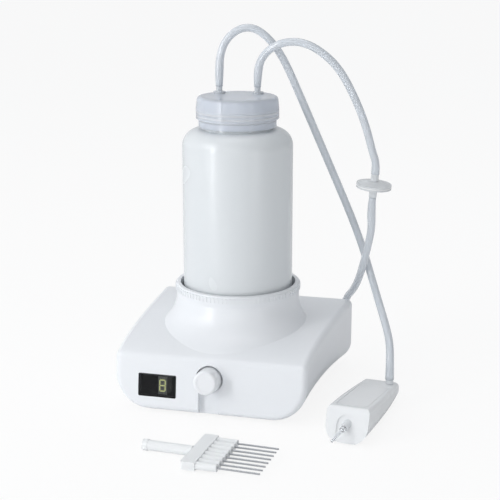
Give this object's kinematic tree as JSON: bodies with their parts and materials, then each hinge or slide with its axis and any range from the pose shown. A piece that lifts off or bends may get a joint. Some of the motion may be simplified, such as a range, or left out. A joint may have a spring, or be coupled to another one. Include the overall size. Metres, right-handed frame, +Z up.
{
  "type": "vacuum aspirator",
  "caption": "bench-top vacuum aspirator: low moulded base with a well for its waste bottle, ported cap with clear hoses, disc filter, hand operator and needle-row adapter",
  "frame": {"origin": "middle of the footprint of the set without its hoses and filter, on the bench plane", "axes": "+X to the right as the display is read, -Y to the front, +Z up; the set stands on its rubber feet at Z = 0"},
  "size_m": [0.2275, 0.2764, 0.2998],
  "materials": {
    "housing": "smooth moulded white, slightly cool",
    "grip": "fine moulded ribs",
    "pad": "soft matt rubber",
    "plate": "fine-textured moulding",
    "feet": "soft matt rubber",
    "steel": "bright drawn or turned steel",
    "window": "black glossy see-through panel",
    "digit": "lit seven-segment digit",
    "board": "printed circuit board",
    "encoder": "plated switch case",
    "plunger": "black moulding",
    "knob": "satin white moulding",
    "motor": "plated motor can",
    "pump_metal": "machined aluminium",
    "pump_plastic": "black moulding",
    "diaphragm": "moulded rubber",
    "hose": "clear flexible tube, milky blue",
    "port": "white moulding",
    "jack": "black moulding with a centre pin",
    "exhaust": "sintered plug",
    "bottle": "translucent white moulding",
    "cap": "translucent bluish moulding",
    "seal": "soft pale ring",
    "stem": "translucent moulding",
    "filter": "welded translucent shell",
    "membrane": "white filter membrane",
    "hand": "satin white moulding",
    "lever": "satin white moulding",
    "nozzle": "white moulding",
    "tip": "clear moulding",
    "adapter": "autoclavable white moulding",
    "needle": "bright drawn needle"
  },
  "bodies": {
    "base": {"upper_housing": "housing", "grip_ring": "grip", "bottle_pad": "pad", "base_plate": "plate", "rubber_feet": "feet", "base_screws": "steel", "display_window": "window", "display_module": "digit", "front_board": "board", "encoder_body": "encoder", "pump_motor": "motor", "pump_case": "pump_metal", "connecting_rod": "pump_plastic", "diaphragm": "diaphragm", "pump_head": "pump_plastic", "pump_cradle": "pump_metal", "pump_mounts": "feet", "vacuum_port": "port", "pump_hose": "hose", "power_jack": "jack", "exhaust_silencer": "exhaust", "hand_shell": "hand", "lever_pin": "steel", "lever_spring": "steel", "hand_inlet": "nozzle", "hand_nozzle": "nozzle", "pinch_hose": "hose", "adapter_body": "adapter", "adapter_needles": "needle"},
    "cap": {"bottle_cap": "cap", "cap_seal": "seal", "inlet_stem": "stem", "outlet_stem": "stem", "dip_tube": "hose", "filter_upper": "filter", "filter_lower": "filter", "filter_membrane": "membrane", "suction_hose": "hose", "vacuum_hose_upper": "hose", "vacuum_hose_lower": "hose"},
    "bottle": {"bottle": "bottle"},
    "plunger": {"encoder_plunger": "plunger"},
    "knob": {"control_knob": "knob", "encoder_shaft": "steel"},
    "crank": {"pump_shaft": "steel"},
    "lever": {"hand_lever": "lever"},
    "tip": {"aspiration_tip": "tip"}
  },
  "joints": [
    {"name": "bottle_lift", "type": "slide", "parent": "base", "child": "cap", "axis": [0, 0, 1], "range_m": [0, 0.055]},
    {"name": "bottle_turn", "type": "hinge", "parent": "cap", "child": "bottle", "pos_m": [-0.02696, 0.055, 0.23], "axis": [0, 0, 1], "range_deg": [0, 360]},
    {"name": "knob_push", "type": "slide", "parent": "base", "child": "plunger", "axis": [0, 0.9925, -0.1219], "range_m": [0, 0.0005], "stiffness_N_per_m": 2000, "springref_m": -0.0005},
    {"name": "knob_turn", "type": "hinge", "parent": "plunger", "child": "knob", "pos_m": [-0.02696, -0.03469, 0.031], "axis": [0, -0.9925, 0.1219], "continuous": true},
    {"name": "pump_spin", "type": "hinge", "parent": "base", "child": "crank", "pos_m": [-0.02096, 0.049, 0.0198], "axis": [1, 0, 0], "continuous": true},
    {"name": "lever_press", "type": "hinge", "parent": "base", "child": "lever", "pos_m": [0.09587, 0.014, 0.0122], "axis": [0.9936, -0.1132, 0], "range_deg": [0, 2.5], "stiffness_Nm_per_rad": 0.05, "springref_deg": -11.46},
    {"name": "tip_pull", "type": "slide", "parent": "base", "child": "tip", "axis": [-0.3861, -0.8631, -0.3256], "range_m": [0, 0.012]}
  ]
}
